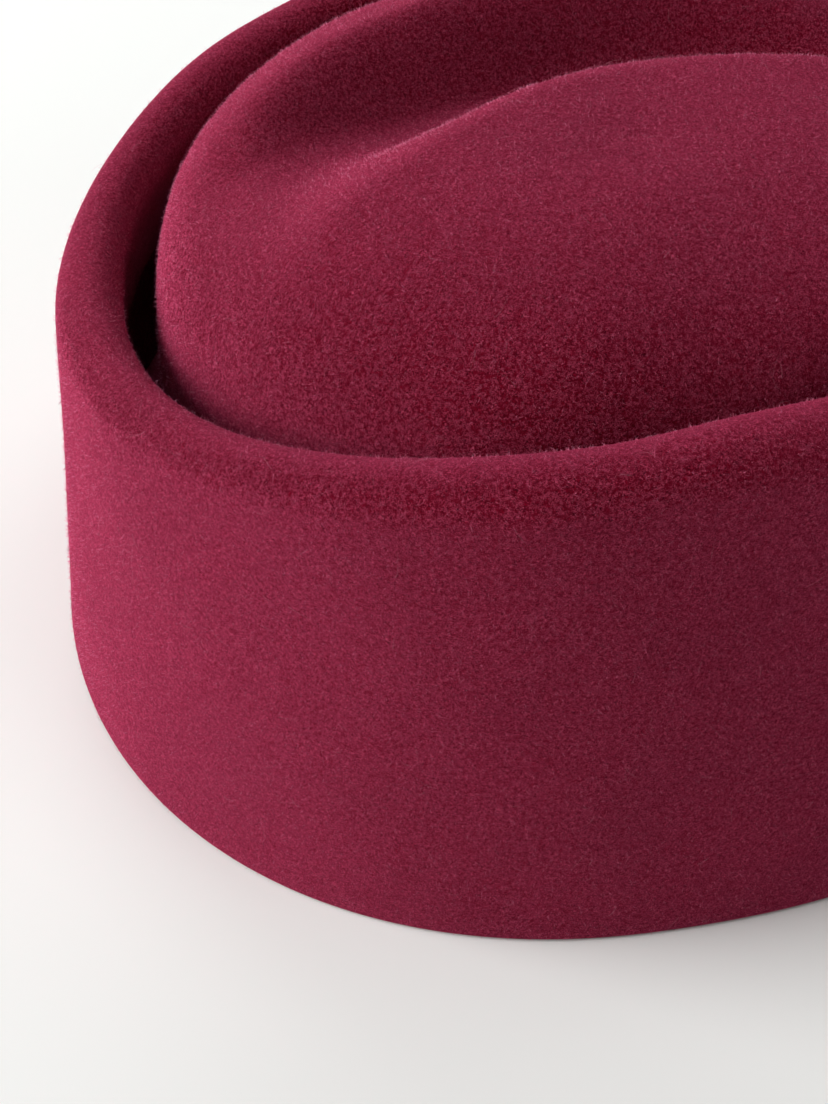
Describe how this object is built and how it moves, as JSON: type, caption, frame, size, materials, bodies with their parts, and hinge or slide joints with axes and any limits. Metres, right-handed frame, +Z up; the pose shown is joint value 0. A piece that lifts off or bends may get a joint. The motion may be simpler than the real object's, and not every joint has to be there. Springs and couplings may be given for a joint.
{
  "type": "pillbox hat",
  "caption": "Burgundy fur felt pillbox hat: a tall cuff with its top edge rolled inwards round a soft crown with a crescent crease.",
  "frame": {"origin": "On the flat surface that the hat stands on, under the middle of the hat's oval.", "axes": "+X points to the wearer's forehead, +Y to the wearer's left, +Z up to the crown."},
  "size_m": [0.208, 0.1916, 0.107],
  "materials": {
    "felt": "matt burgundy fur felt with a short brushed nap"
  },
  "bodies": {
    "root": {"cuff": "felt", "crown": "felt"}
  },
  "joints": []
}
